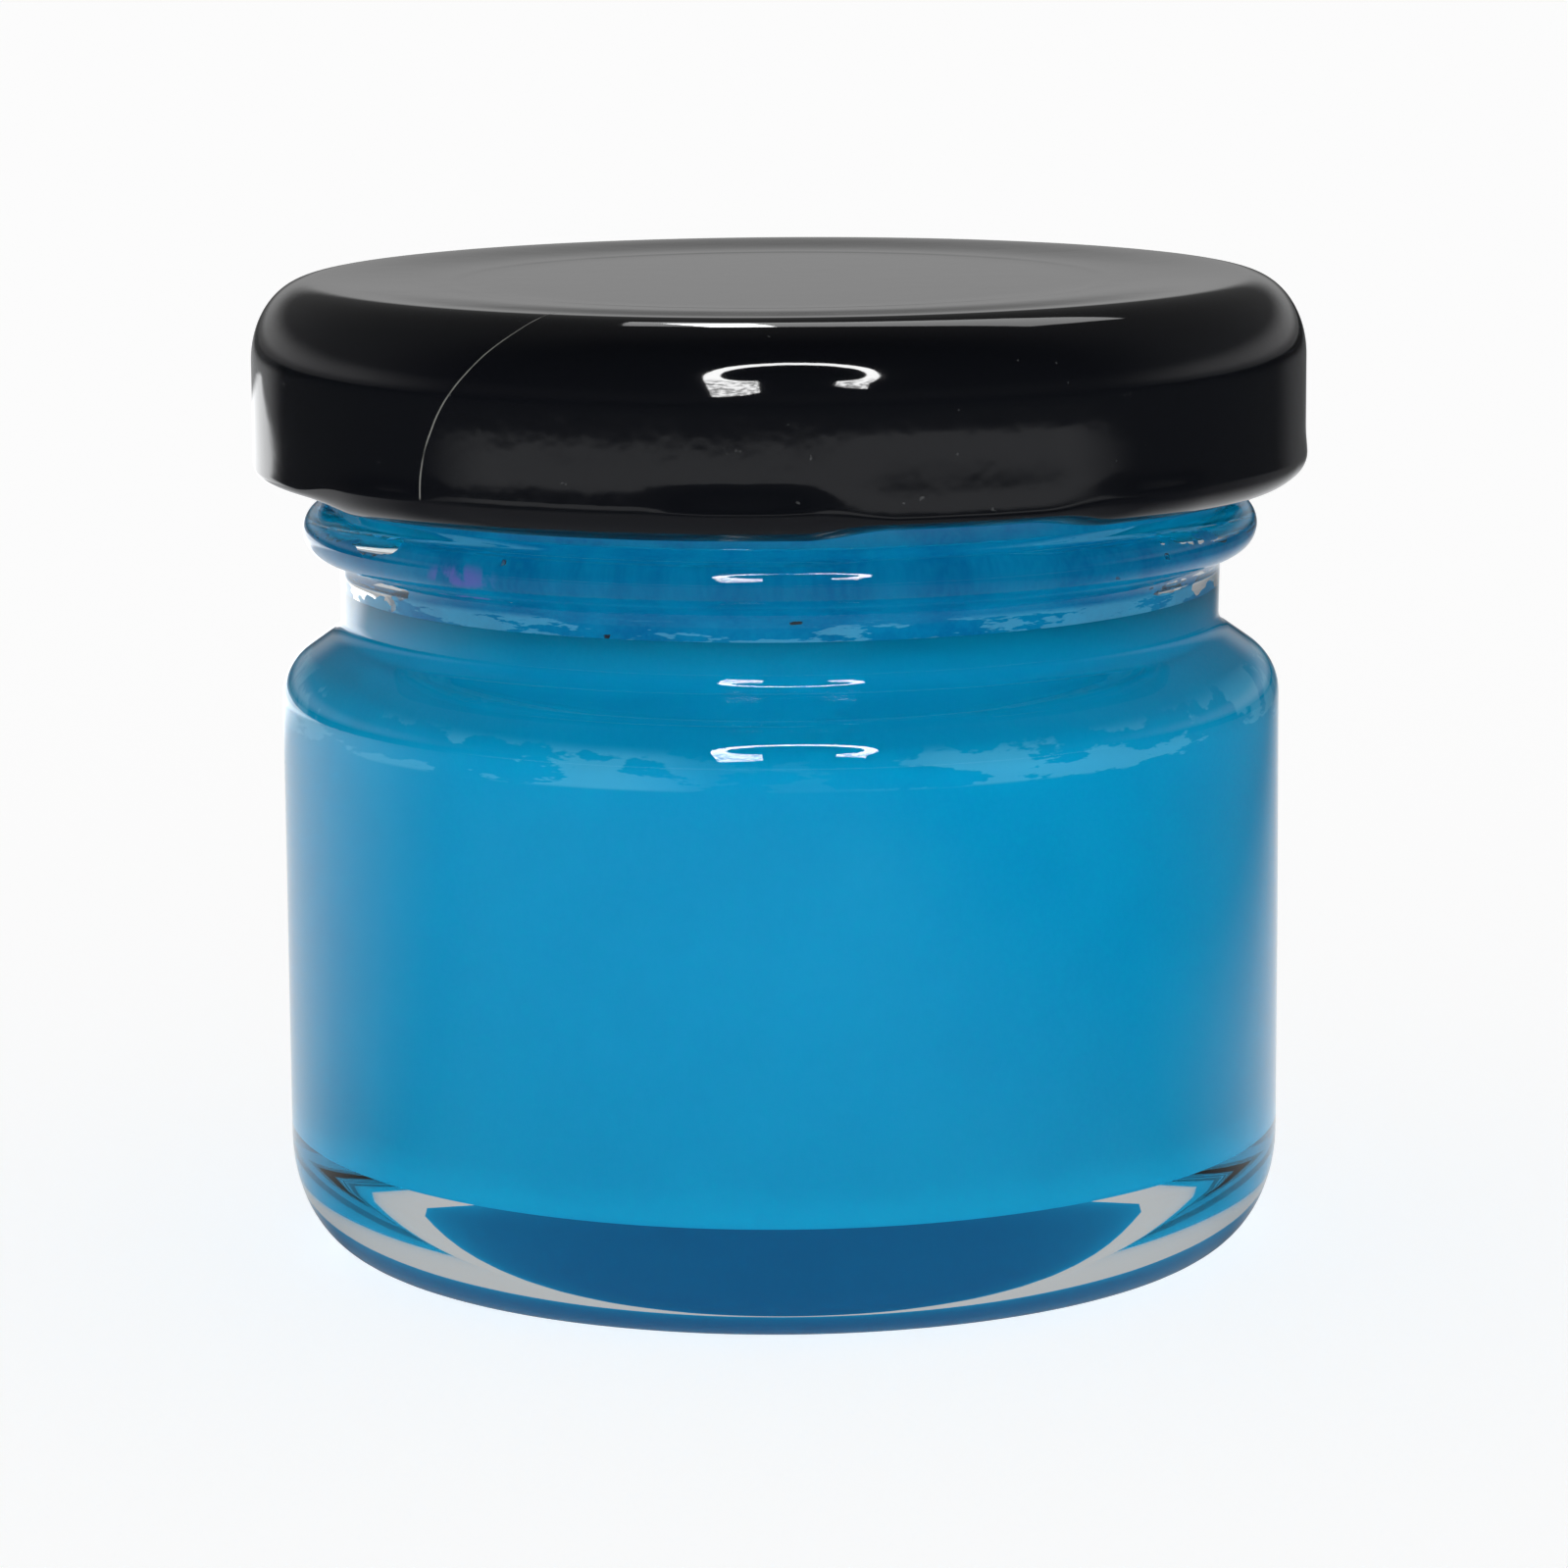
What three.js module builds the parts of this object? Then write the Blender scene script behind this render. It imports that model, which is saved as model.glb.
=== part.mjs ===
// A small round glass paint jar with a four-lug twist-off lid, filled with gel paint.
// Millimetres, +Z up. The origin is the centre of the surface that the jar stands on, and -Y
// is the front. The lid is shown set down on the jar, with its lugs between the glass threads.

import * as THREE from "three";

// Glass jar, outside
const bodyRadius = 22.0;
const bodyHeight = 24.4; // where the straight wall starts to turn in
const heelInset = 3.3; // from the body wall in to the ring that the jar stands on
const heelHeight = 4.8;
const standingWidth = 1.3; // of the flat standing ring
const pushUp = 2.8; // height of the domed hollow under the base, in its middle
const pushUpEdge = 0.7; // and at its edge
const pushUpSlope = 1.4; // width of the slope from the standing ring up to that edge
const shoulderRound = 2.2;
const shoulderSlope = 55; // degrees from the vertical
const neckFillet = 1.0;
const neckInset = 2.65; // from the body wall in to the neck
const neckHeight = 3.9; // from the end of the shoulder to the middle of the bead
const beadRound = 1.1; // radius of the bead's section
const beadReach = 1.6; // how far the bead stands out from the neck
const finishStep = 0.25; // the threaded wall is this much wider than the neck
const rimRound = 0.9;

// Glass jar, inside
const bodyWall = 2.1;
const finishWall = 2.4;
const floorThickness = 4.6;
const floorCrown = 0.4; // how much the middle of the floor stands up
const floorFillet = 2.4;
const innerShoulderDrop = 0.7; // the inner shoulder starts this far below the outer one
const innerShoulderRound = 1.2;
const innerNeckFillet = 2.0;

// Threads and lugs
const threadCount = 4;
const threadReach = 1.15; // how far a thread stands out from the threaded wall
const threadFlank = 0.3; // height that each sloping flank takes
const threadCrest = 0.7;
const threadRise = 1.0; // how much higher a thread is where the lug goes in
const threadLead = 17.5; // degrees over which it comes down to its level part
const lugAzimuth = 20; // degrees from the front towards +X, of one of the lugs
const lugHalfAngle = 7.5; // degrees of a lug at its full depth
const lugBlend = 10; // degrees over which a lug fades into the curl at each side
const threadGap = 10; // degrees clear of thread on each side of a lug's middle
const threadBlend = 10; // degrees over which a thread grows to its full depth

// Lid
const sheet = 0.2;
const lidHeight = 8.9;
const lidClearance = 0.5; // from the threads out to the curl
const curlWidth = 1.9; // from the inside of the curl out to the skirt
const curlRound = 1.3; // outer lower round of the skirt
const curlReturnRound = 0.6; // the tighter round that goes up on the inside
const curlHeight = 1.5;
const lidShoulderWidth = 2.75;
const lidShoulderHeight = 3.45;
const panelRadius = 14.5;
const panelStep = 0.7; // width of the small step round the panel
const panelDrop = 0.2; // the panel lies this far below the crest
const crestDrop = 0.13; // part of that drop that the ring outside the step takes
const lugClearance = 0.5; // from a lug's tip in to the threaded wall
const lugThickness = 0.7;
const lugLift = 0.3; // how far the lid's edge is pressed up at a lug
const lugDent = 0.1; // how far the skirt is pressed in at a lug
const dentHeight = 3.0; // height above the curl over which the dent fades out

// Gasket and paint
const gasketThickness = 0.9;
const gasketOverlap = 0.8; // how far it runs past the glass rim on each side
const paintBelowBead = 3.0; // from the middle of the bead down to the paint's surface
const meniscus = 0.25; // how far the paint climbs the wall
const meniscusWidth = 1.5;
const filmThickness = 0.3;
const filmBelowRim = 0.8;

// Clearances
const seatGap = 0.3; // between pieces that rest on each other
const threadClearance = 0.4; // between a lug and the thread above it
const beadClearance = 0.85; // between the bead and the lid's edge

// Facets
const roundSteps = 72; // round the jar and the lid
const plainSteps = 36; // round the paint and the gasket

// Sizes that follow from the ones above
const innerRadius = bodyRadius - bodyWall;
const neckRadius = bodyRadius - neckInset;
const finishRadius = neckRadius + finishStep;
const boreRadius = finishRadius - finishWall;
const threadRadius = finishRadius + threadReach;
const standingRadius = bodyRadius - heelInset;
const shoulder = step(bodyRadius, neckRadius, bodyHeight, shoulderRound, neckFillet);
const innerShoulder = step(
  innerRadius,
  boreRadius,
  bodyHeight - innerShoulderDrop,
  innerShoulderRound,
  innerNeckFillet,
);
const beadLevel = topOf(shoulder) + neckHeight;
const beadMiddle = neckRadius + beadReach - beadRound;
const lidBottom = beadLevel + beadRound + beadClearance;
const lidTop = lidBottom + lidHeight;
const rimLevel = lidTop - crestDrop - sheet - seatGap - gasketThickness - seatGap;
const curlInside = threadRadius + lidClearance;
const lidRadius = curlInside + curlWidth;
const crestRadius = lidRadius - lidShoulderWidth;
const lugTip = finishRadius + lugClearance;
const lugBottom = lidBottom + lugLift;
const lugTop = lugBottom + lugThickness;
const curlTop = lidBottom + curlHeight;
const threadLevel = lugTop + threadClearance;
const paintLevel = beadLevel - paintBelowBead;

// A stretch of a circle or an ellipse, as points of an outline. Angles are in degrees.
function arc(radius, height, round, from, to, steps, tall = round) {
  const start = THREE.MathUtils.degToRad(from);
  const end = THREE.MathUtils.degToRad(to);
  return new THREE.EllipseCurve(radius, height, round, tall, start, end, to < from).getPoints(steps);
}

// A line from one wall in to a narrower one above it, rounded at both ends.
function step(wideRadius, narrowRadius, start, round, fillet) {
  const slope = THREE.MathUtils.degToRad(shoulderSlope);
  const roundEnd = start + round * Math.sin(slope);
  const straight = wideRadius - narrowRadius - (round + fillet) * (1 - Math.cos(slope));
  const end = roundEnd + straight / Math.tan(slope) + fillet * Math.sin(slope);
  return [
    ...arc(wideRadius - round, start, round, 0, shoulderSlope, 3),
    ...arc(narrowRadius + fillet, end, fillet, 180 + shoulderSlope, 180, 3),
  ];
}

function topOf(outline) {
  return outline[outline.length - 1].y;
}

function point(radius, height) {
  return new THREE.Vector2(radius, height);
}

// A body turned about +Z. outlineAt gives its outline at an azimuth in degrees, with the same
// number of points all the way round, up on the outside and down on the inside.
function turned(outlineAt, steps) {
  const geometry = new THREE.LatheGeometry(outlineAt(0), steps);
  const place = geometry.getAttribute("position");
  for (let turn = 0; turn <= steps; turn++) {
    const azimuth = (360 * (turn % steps)) / steps;
    const angle = THREE.MathUtils.degToRad(azimuth);
    const outline = outlineAt(azimuth);
    outline.forEach(({ x: radius, y: height }, index) => {
      const vertex = turn * outline.length + index;
      place.setXYZ(vertex, radius * Math.sin(angle), height, radius * Math.cos(angle));
    });
  }
  return geometry.rotateX(Math.PI / 2);
}

// Degrees from the middle of the nearest lug round to this azimuth, against the way that the
// lid tightens, from 0 up to one thread's share of the circle.
function pastLug(azimuth) {
  return THREE.MathUtils.euclideanModulo(lugAzimuth - azimuth, 360 / threadCount);
}

// Degrees to the middle of the nearest lug, either way.
function offLug(azimuth) {
  return Math.min(pastLug(azimuth), 360 / threadCount - pastLug(azimuth));
}

// One thread's section at an azimuth: flat on the wall between threads, standing out along them.
function threadOutline(azimuth) {
  const depth = THREE.MathUtils.clamp((offLug(azimuth) - threadGap) / threadBlend, 0, 1);
  const leadEnd = threadGap + threadBlend / 2 + threadLead;
  const lead = THREE.MathUtils.clamp((leadEnd - pastLug(azimuth)) / threadLead, 0, 1);
  const bottom = threadLevel + threadRise * lead;
  const reach = finishRadius + threadReach * depth;
  return [
    point(finishRadius, bottom),
    point(reach, bottom + threadFlank),
    point(reach, bottom + threadFlank + threadCrest),
    point(finishRadius, bottom + 2 * threadFlank + threadCrest),
  ];
}

function jarOutline(azimuth) {
  const standingInside = standingRadius - standingWidth;
  const domeRadius = standingInside - pushUpSlope;
  const dome = [0, 0.35, 0.7, 1].map((share) => {
    const height = THREE.MathUtils.lerp(pushUp, pushUpEdge, share ** 2);
    return point(share * domeRadius, height);
  });
  const heel = arc(standingRadius, heelHeight, heelInset, -90, 0, 5, heelHeight);
  const bead = arc(beadMiddle, beadLevel, beadRound, -75, 75, 5);
  const rimOutside = arc(finishRadius - rimRound, rimLevel - rimRound, rimRound, 0, 90, 3);
  const rimInside = arc(boreRadius + rimRound, rimLevel - rimRound, rimRound, 90, 180, 3);
  const floor = floorThickness + floorFillet;
  const floorCorner = arc(innerRadius - floorFillet, floor, floorFillet, 0, -90, 4);
  return [
    ...dome,
    point(standingInside, 0),
    ...heel,
    ...shoulder,
    point(neckRadius, beadLevel - beadRound),
    ...bead,
    point(finishRadius, beadLevel + beadRound),
    ...threadOutline(azimuth),
    ...rimOutside,
    ...rimInside,
    ...innerShoulder.toReversed(),
    ...floorCorner,
    point(0, floorThickness + floorCrown),
  ];
}

// The fill follows the inside of the jar up to the paint's surface, with a small meniscus.
function paintOutline() {
  const side = innerRadius - seatGap;
  const neck = boreRadius - seatGap;
  const bottom = floorThickness + floorCrown + seatGap;
  return [
    point(0, bottom),
    ...arc(side - floorFillet, bottom + floorFillet, floorFillet, -90, 0, 4),
    ...step(side, neck, bodyHeight - innerShoulderDrop - seatGap, innerShoulderRound, innerNeckFillet),
    point(neck, paintLevel + meniscus),
    point(neck - meniscusWidth, paintLevel),
    point(0, paintLevel),
  ];
}

// The coat of paint left on the wall of the mouth above the fill.
function filmOutline() {
  const outside = boreRadius - seatGap;
  const inside = outside - filmThickness;
  const bottom = paintLevel + meniscus + seatGap;
  const top = rimLevel - filmBelowRim;
  return [
    point(inside, bottom),
    point(outside, bottom),
    point(outside, top),
    point(inside, top),
    point(inside, bottom),
  ];
}

function gasketOutline() {
  const inside = boreRadius - gasketOverlap;
  const outside = finishRadius + gasketOverlap;
  const bottom = rimLevel + seatGap;
  const top = bottom + gasketThickness;
  const bevel = gasketThickness / 3;
  return [
    point(inside + bevel, bottom),
    point(outside - bevel, bottom),
    point(outside, bottom + bevel),
    point(outside, top),
    point(inside, top),
    point(inside, bottom + bevel),
    point(inside + bevel, bottom),
  ];
}

// Moves a point of the lid's outline where a lug is pressed, by press from 0 to 1. The curl is
// flattened and pushed in over the threads, and the skirt above it is dented.
function pressed({ x: radius, y: height }, press) {
  const flat = lugBottom + ((height - lidBottom) * lugThickness) / curlHeight;
  const settle = flat - height;
  const topSettle = lugTop - curlTop;
  const fade = THREE.MathUtils.clamp((height - curlTop) / dentHeight, 0, 1);
  const outward = THREE.MathUtils.clamp((radius - curlInside) / curlWidth, 0, 1);
  const push = THREE.MathUtils.lerp(curlInside - lugTip, lugDent, outward);
  const drop = height < curlTop ? settle : topSettle * (1 - fade);
  return point(radius - press * push * (1 - fade), height + press * drop);
}

// Both sides of the skirt and curl: offset is 0 on the outside of the sheet.
function skirtOutline(offset) {
  const skirt = lidRadius - offset;
  const curlMiddle = lidRadius - curlRound;
  const curlLevel = lidBottom + curlRound;
  const returnLevel = lidBottom + curlReturnRound;
  const hook = curlMiddle - curlReturnRound + offset;
  return [
    point(hook, curlTop),
    ...arc(curlMiddle, returnLevel, curlReturnRound - offset, -180, -90, 2),
    ...arc(curlMiddle, curlLevel, curlRound - offset, -90, 0, 4).slice(1),
    point(skirt, curlTop + dentHeight / 2),
    point(skirt, curlTop + dentHeight),
  ];
}

// Both sides of the top, from the skirt in to the axis: offset is 0 on the outside.
function topOutline(offset) {
  const level = lidTop - lidShoulderHeight;
  const wide = lidShoulderWidth - offset;
  const tall = lidShoulderHeight - offset;
  return [
    ...arc(crestRadius, level, wide, 0, 90, 5, tall),
    point(panelRadius + panelStep, lidTop - crestDrop - offset),
    point(panelRadius, lidTop - panelDrop - offset),
    point(0, lidTop - panelDrop - offset),
  ];
}

function lidOutline(azimuth) {
  const fade = (offLug(azimuth) - lugHalfAngle) / lugBlend;
  const press = 1 - THREE.MathUtils.clamp(fade, 0, 1);
  const skirtAt = (offset) => skirtOutline(offset).map((corner) => pressed(corner, press));
  return [
    ...topOutline(sheet).toReversed(),
    ...skirtAt(sheet).toReversed(),
    ...skirtAt(0),
    ...topOutline(0),
  ];
}

function piece(name, geometry, color, roughness, metalness) {
  const material = new THREE.MeshStandardMaterial({ color, roughness, metalness });
  const mesh = new THREE.Mesh(geometry, material);
  mesh.name = name;
  return mesh;
}

const jar = new THREE.Group();
jar.add(
  piece("glass_jar", turned(jarOutline, roundSteps), 0xdcebf2, 0.04, 0),
  piece("paint_fill", turned(paintOutline, plainSteps), 0x1c91c3, 0.3, 0),
  piece("paint_film", turned(filmOutline, plainSteps), 0x157fae, 0.3, 0),
);

const lid = new THREE.Group();
lid.add(
  piece("lid_shell", turned(lidOutline, roundSteps), 0x0a0c11, 0.18, 0.2),
  piece("lid_gasket", turned(gasketOutline, plainSteps), 0xd9d6cc, 0.5, 0),
);

const paintJar = new THREE.Group();
paintJar.add(jar, lid);

export default paintJar;
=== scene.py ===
"""A small glass paint jar with a black twist-off lid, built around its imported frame.

Lengths are in metres and angles in degrees unless a name says otherwise. Azimuths run from the
front, which is -Y, towards +X.
"""

import math

import bmesh
import bpy
import numpy as np
from mathutils import Euler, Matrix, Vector, noise


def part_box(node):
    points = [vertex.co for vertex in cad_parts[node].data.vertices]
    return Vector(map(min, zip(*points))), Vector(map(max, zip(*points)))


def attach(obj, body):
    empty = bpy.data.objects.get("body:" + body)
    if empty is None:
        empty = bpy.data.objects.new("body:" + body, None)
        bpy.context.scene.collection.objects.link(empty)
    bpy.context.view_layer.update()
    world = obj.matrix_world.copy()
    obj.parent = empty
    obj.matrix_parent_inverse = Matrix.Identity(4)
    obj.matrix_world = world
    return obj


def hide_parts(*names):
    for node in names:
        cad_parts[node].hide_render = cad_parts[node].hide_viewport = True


MM = 0.001
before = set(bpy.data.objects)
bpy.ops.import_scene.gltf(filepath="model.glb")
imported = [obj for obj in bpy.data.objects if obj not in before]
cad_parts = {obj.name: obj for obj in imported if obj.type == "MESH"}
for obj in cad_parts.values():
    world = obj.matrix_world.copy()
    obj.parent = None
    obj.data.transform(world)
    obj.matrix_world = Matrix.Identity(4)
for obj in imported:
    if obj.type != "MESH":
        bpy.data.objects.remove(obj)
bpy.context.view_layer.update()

# ---------------------------------------------------------------- sizes from the frame

JAR_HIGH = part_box("glass_jar")[1]
LID_LOW, LID_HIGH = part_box("lid_shell")
GASKET_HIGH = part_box("lid_gasket")[1]
FILL_LOW, FILL_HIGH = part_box("paint_fill")
FILM_LOW, FILM_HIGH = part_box("paint_film")

GAP = FILM_LOW.z - FILL_HIGH.z  # that the frame keeps between pieces that touch
BODY_RADIUS = JAR_HIGH.x
RIM = JAR_HIGH.z
LID_RADIUS = LID_HIGH.x
LID_TOP = LID_HIGH.z
LID_BOTTOM = LID_LOW.z
INNER_RADIUS = FILL_HIGH.x + GAP
BORE_RADIUS = FILM_HIGH.x + GAP
MENISCUS_TOP = FILL_HIGH.z

# ---------------------------------------------------------------- the jar's shape

HEEL_INSET, HEEL_HEIGHT = 3.3 * MM, 4.8 * MM
STANDING_WIDTH = 1.3 * MM
PUSH_UP, PUSH_UP_EDGE, PUSH_UP_SLOPE = 2.8 * MM, 0.7 * MM, 1.4 * MM
SHOULDER_START = 24.4 * MM
SHOULDER_ROUND, NECK_FILLET, SHOULDER_SLOPE = 2.2 * MM, 1.0 * MM, 55
NECK_RADIUS = BODY_RADIUS - 2.65 * MM
BEAD_ROUND, BEAD_REACH, BEAD_HALF_ANGLE = 1.1 * MM, 1.6 * MM, 62
BEAD_GAP = 0.85 * MM  # from the bead up to the lid
BEAD_LEVEL = LID_BOTTOM - BEAD_GAP - BEAD_ROUND
BEAD_MIDDLE = NECK_RADIUS + BEAD_REACH - BEAD_ROUND
BEAD_FOOT = 1.65 * MM  # from the bead's middle down to where the plain neck ends
FILLET_BELOW, FILLET_ABOVE = 1.342 * MM, 1.32 * MM  # from its middle to the point of each fillet
FILLET_OUT = 0.035 * MM  # from the wall out to that point
FINISH_RADIUS = NECK_RADIUS + 0.25 * MM
RIM_ROUND = 0.9 * MM
FLOOR_CROWN, FLOOR_FILLET = 0.4 * MM, 2.4 * MM
FLOOR = FILL_LOW.z - GAP - FLOOR_CROWN
INNER_SHOULDER_DROP = 0.7 * MM
INNER_SHOULDER_ROUND, INNER_NECK_FILLET = 1.2 * MM, 2.0 * MM
WAVE_DEPTH = 0.012 * MM
WAVES = ((3, 140, 0), (5, -260, 1.3))  # times round the jar, radians a metre upwards, and phase

# ---------------------------------------------------------------- threads and lugs

LUG_COUNT, LUG_AZIMUTH = 4, 20
LUG_HALF_ANGLE, LUG_BLEND = 7.5, 10
LUG_CLEARANCE, LUG_THICKNESS, LUG_LIFT, LUG_DENT = 0.5 * MM, 0.7 * MM, 0.3 * MM, 0.03 * MM
DENT_HEIGHT = 3.0 * MM
THREAD_REACH = 1.127 * MM  # a little less than the frame's
THREAD_HALF_HEIGHT, THREAD_RISE = 0.65 * MM, 1.0 * MM
THREAD_GAP, THREAD_BLEND, THREAD_LEAD = 10, 10, 17.5
THREAD_CLEARANCE = 0.4 * MM
THREAD_LEVEL = LID_BOTTOM + LUG_LIFT + LUG_THICKNESS + THREAD_CLEARANCE + THREAD_HALF_HEIGHT

SWELL, SWELL_ANGLE, SWELL_HALF_ANGLE = 0.1 * MM, 24, 7  # of the curl, beside each lug
SWELL_ELSEWHERE = 0.15  # as a share of that
SWELL_LOW, SWELL_HIGH = 0.7 * MM, 2.4 * MM  # it fades out between these heights in the skirt
SWELL_IN, SWELL_OUT = 0.6 * MM, 1.4 * MM  # and in between these widths of the curl

# ---------------------------------------------------------------- the lid's shape

SHEET = 0.2 * MM
CURL_WIDTH, CURL_ROUND, CURL_RETURN, CURL_HEIGHT = 1.9 * MM, 1.3 * MM, 0.6 * MM, 1.5 * MM
LID_SHOULDER_WIDTH, LID_SHOULDER_HEIGHT = 2.75 * MM, 3.45 * MM
PANEL_RADIUS, PANEL_STEP = 14.5 * MM, 0.7 * MM
CREST_DROP, PANEL_DROP = 0.18 * MM, 0.2 * MM
CREST_CURVE = 0.8  # the power of the fall from the crest in to the panel
CREST_RADIUS = LID_RADIUS - LID_SHOULDER_WIDTH
CURL_INSIDE = LID_RADIUS - CURL_WIDTH
CURL_TOP = LID_BOTTOM + CURL_HEIGHT
GASKET_RADIUS, GASKET_WIDTH, GASKET_EDGE = GASKET_HIGH.x, 4 * MM, 0.35 * MM
GASKET_REST = 0.01 * MM  # from the rim up to the roof of the groove in the gasket
GROOVE_DEPTH, GROOVE_HALF_WIDTH = 0.1 * MM, 0.8 * MM

# ---------------------------------------------------------------- outlines and turned meshes


def arc(radius, level, size, start, end, points, tall=None):
    """A stretch of a circle, or of an ellipse as tall as tall, as points of an outline."""
    angle = np.radians(np.linspace(start, end, points + 1))
    tall = size if tall is None else tall
    return np.c_[radius + size * np.cos(angle), level + tall * np.sin(angle)]


def line(start, end, points):
    """Evenly spaced points from start to end, without either end."""
    share = np.linspace(0, 1, points + 2)[1:-1, None]
    return np.array(start) * (1 - share) + np.array(end) * share


def step_in(wide, narrow, start, round_size, fillet):
    """A slope from one wall in to a narrower one above it, rounded at both ends."""
    slope = math.radians(SHOULDER_SLOPE)
    straight = wide - narrow - (round_size + fillet) * (1 - math.cos(slope))
    end = start + (round_size + fillet) * math.sin(slope) + straight / math.tan(slope)
    lower = arc(wide - round_size, start, round_size, 0, SHOULDER_SLOPE, 10)
    upper = arc(narrow + fillet, end, fillet, 180 + SHOULDER_SLOPE, 180, 10)
    return np.r_[lower, line(lower[-1], upper[0], 4), upper]


def smooth(low, high, value):
    """0 below low, 1 above high, and a smooth rise between them."""
    share = np.clip((value - low) / (high - low), 0, 1)
    return share * share * (3 - 2 * share)


def turned(name, outline_at, steps, finishes, finish_of=None):
    """A closed body turned about +Z. outline_at gives its outline at an azimuth, up on the
    outside and down on the inside, starting and ending on the axis or else closing on itself.
    finish_of gives which of the finishes each stretch of the outline takes."""
    outlines = np.array([outline_at(360 * turn / steps) for turn in range(steps)])
    count = outlines.shape[1]
    angle = np.radians(360 * np.arange(steps) / steps)[:, None]
    radius, level = outlines[:, :, 0], outlines[:, :, 1]
    places = np.stack([radius * np.sin(angle), -radius * np.cos(angle), level], 2).reshape(-1, 3)
    on_axis = outlines[0, 0, 0] < 1e-9
    stretches = count - 1 if on_axis else count
    faces, finish = [], []
    for turn in range(steps):
        here, there = turn * count, (turn + 1) % steps * count
        for j in range(stretches):
            k = (j + 1) % count
            if on_axis and j == 0:
                face = (0, there + k, here + k)
            elif on_axis and j == count - 2:
                face = (here + j, there + j, count - 1)
            else:
                face = (here + j, there + j, there + k, here + k)
            faces.append(face)
            finish.append(0 if finish_of is None else finish_of[j])
    mesh = bpy.data.meshes.new(name)
    mesh.from_pydata(places.tolist(), [], faces)
    for material in finishes:
        mesh.materials.append(material)
    mesh.polygons.foreach_set("material_index", finish)
    mesh.polygons.foreach_set("use_smooth", [True] * len(faces))
    piece = bpy.data.objects.new(name, mesh)
    bpy.context.scene.collection.objects.link(piece)
    drop_loose(mesh)
    return piece


def drop_loose(mesh):
    """Deletes the points that no face uses, such as the spare copies of one on the axis."""
    edit = bmesh.new()
    edit.from_mesh(mesh)
    bmesh.ops.delete(edit, geom=[v for v in edit.verts if not v.link_faces], context="VERTS")
    edit.to_mesh(mesh)
    edit.free()


# ---------------------------------------------------------------- node helpers


class Nodes:
    """Short calls for building the nodes of a material or of the world."""

    def __init__(self, owner, coordinates):
        owner.use_nodes = True
        self.tree = owner.node_tree
        self.place = self.add("ShaderNodeTexCoord").outputs[coordinates]

    def add(self, kind, settings=(), **inputs):
        """A node with settings as its attributes and inputs as values or sockets to link."""
        node = self.tree.nodes.new(kind)
        for key, value in dict(settings).items():
            setattr(node, key, value)
        for key, value in inputs.items():
            self.put(node.inputs[key.replace("_", " ")], value)
        return node

    def put(self, socket, value):
        """Links a socket to the value, or sets it."""
        if isinstance(value, bpy.types.NodeSocket):
            self.tree.links.new(value, socket)
        else:
            socket.default_value = value

    def axes(self):
        """The three coordinates of the place."""
        return self.add("ShaderNodeSeparateXYZ", Vector=self.place).outputs

    def light_path(self):
        return self.add("ShaderNodeLightPath").outputs

    def noise(self, scale, detail=2.0, roughness=0.5, place=None):
        node = self.add("ShaderNodeTexNoise", Scale=scale, Detail=detail, Roughness=roughness)
        self.put(node.inputs["Vector"], self.place if place is None else place)
        return node.outputs["Fac"]

    def math(self, operation, a, b=0.0, c=0.0):
        node = self.add("ShaderNodeMath", {"operation": operation})
        for socket, value in zip(node.inputs, (a, b, c)):
            self.put(socket, value)
        return node.outputs[0]

    def vector(self, operation, a, b=(0, 0, 0)):
        """A sum on vectors. A length or a distance comes out as a value."""
        node = self.add("ShaderNodeVectorMath", {"operation": operation})
        self.put(node.inputs[0], a)
        self.put(node.inputs[1], b)
        return node.outputs["Value" if operation in ("LENGTH", "DISTANCE") else "Vector"]

    def product(self, first, *others):
        for other in others:
            first = self.math("MULTIPLY", first, other)
        return first

    def total(self, first, *others):
        for other in others:
            first = self.math("ADD", first, other)
        return first

    def ramp(self, value, low, high, start=0.0, end=1.0):
        """start where value is low, end where it is high, smooth between."""
        node = self.add("ShaderNodeMapRange", {"interpolation_type": "SMOOTHSTEP"}, Value=value)
        for key, number in zip(("From Min", "From Max", "To Min", "To Max"), (low, high, start, end)):
            node.inputs[key].default_value = number
        return node.outputs["Result"]

    def band(self, value, low, high, rise, fall):
        """1 between low and high and 0 past them, with a rise and a fall inside the two."""
        return self.product(self.ramp(value, low, low + rise), self.ramp(value, high - fall, high, 1, 0))

    def mix(self, share, one, other):
        node = self.add("ShaderNodeMix", {"data_type": "RGBA"})
        self.put(node.inputs["Factor"], share)
        self.put(node.inputs[6], one)
        self.put(node.inputs[7], other)
        return node.outputs[2]

    def bump(self, height, strength, distance):
        return self.add("ShaderNodeBump", Height=height, Strength=strength, Distance=distance).outputs[0]


class MaterialNodes(Nodes):
    """A new material and the calls for building it."""

    def __init__(self, name):
        self.material = bpy.data.materials.new(name)
        super().__init__(self.material, "Object")
        self.surface = self.tree.nodes["Principled BSDF"]

    def set(self, **inputs):
        """Sets or links sockets of the surface shader."""
        for key, value in inputs.items():
            self.put(self.surface.inputs[key.replace("_", " ")], value)

    def show(self, share, one, other):
        """Shows the shader one where share is 0, and the other where it is 1."""
        mix = self.add("ShaderNodeMixShader")
        self.put(mix.inputs[0], share)
        self.put(mix.inputs[1], one.outputs[0])
        self.put(mix.inputs[2], other.outputs[0])
        self.put(self.tree.nodes["Material Output"].inputs["Surface"], mix.outputs[0])


def colour(red, green, blue):
    """A colour from its sRGB values of 0 to 255, as linear light."""
    parts = np.array([red, green, blue]) / 255
    linear = np.where(parts <= 0.04045, parts / 12.92, ((parts + 0.055) / 1.055) ** 2.4)
    return (*[float(part) for part in linear], 1.0)


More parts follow.
